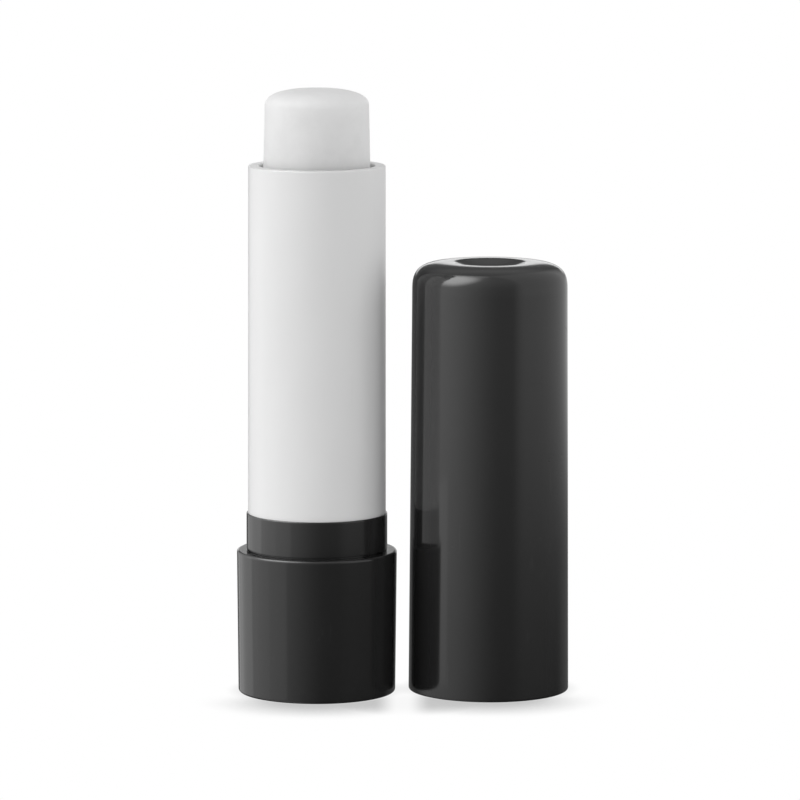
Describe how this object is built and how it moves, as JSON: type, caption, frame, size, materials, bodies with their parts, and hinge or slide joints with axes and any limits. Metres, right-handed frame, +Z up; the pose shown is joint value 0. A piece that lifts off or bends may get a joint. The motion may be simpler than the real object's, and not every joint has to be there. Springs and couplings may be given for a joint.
{
  "type": "lip balm stick",
  "caption": "Twist-up lip balm stick with its cap off: a turning base raises a domed bar of balm on a feed screw, and the dished cap stands beside it.",
  "frame": {"origin": "centre of the knob's underside, on the axis of the stick, where the stick stands", "axes": "+Z up the stick towards the balm, +X towards the cap that stands beside it, +Y away from the viewer"},
  "size_m": [0.0399, 0.0208, 0.0725],
  "materials": {
    "black_plastic": "polished moulding, glossy black",
    "white_plastic": "polished moulding, opaque white",
    "natural_plastic": "plain moulding, uncoloured",
    "balm_wax": "smooth waxy satin, off-white"
  },
  "bodies": {
    "barrel_body": {"tube": "white_plastic", "collar": "black_plastic"},
    "knob_body": {"knob": "black_plastic", "spindle": "natural_plastic"},
    "balm_body": {"carrier": "natural_plastic", "balm": "balm_wax"},
    "cap_body": {"cap": "black_plastic"}
  },
  "joints": [
    {"name": "knob_turn", "type": "hinge", "parent": "barrel_body", "child": "knob_body", "pos_m": [0, 0, 0], "axis": [0, 0, 1], "range_deg": [-892, 2752]},
    {"name": "balm_feed", "type": "slide", "parent": "barrel_body", "child": "balm_body", "axis": [0, 0, 1], "range_m": [-0.01116, 0.03441]},
    {"name": "cap_lift", "type": "slide", "parent": "barrel_body", "child": "cap_body", "axis": [0, 0, 1], "range_m": [0, 0.08]}
  ],
  "couplings": [
    {"joint": "balm_feed", "follows": "knob_turn", "m_per_rad": 0.0007162}
  ]
}
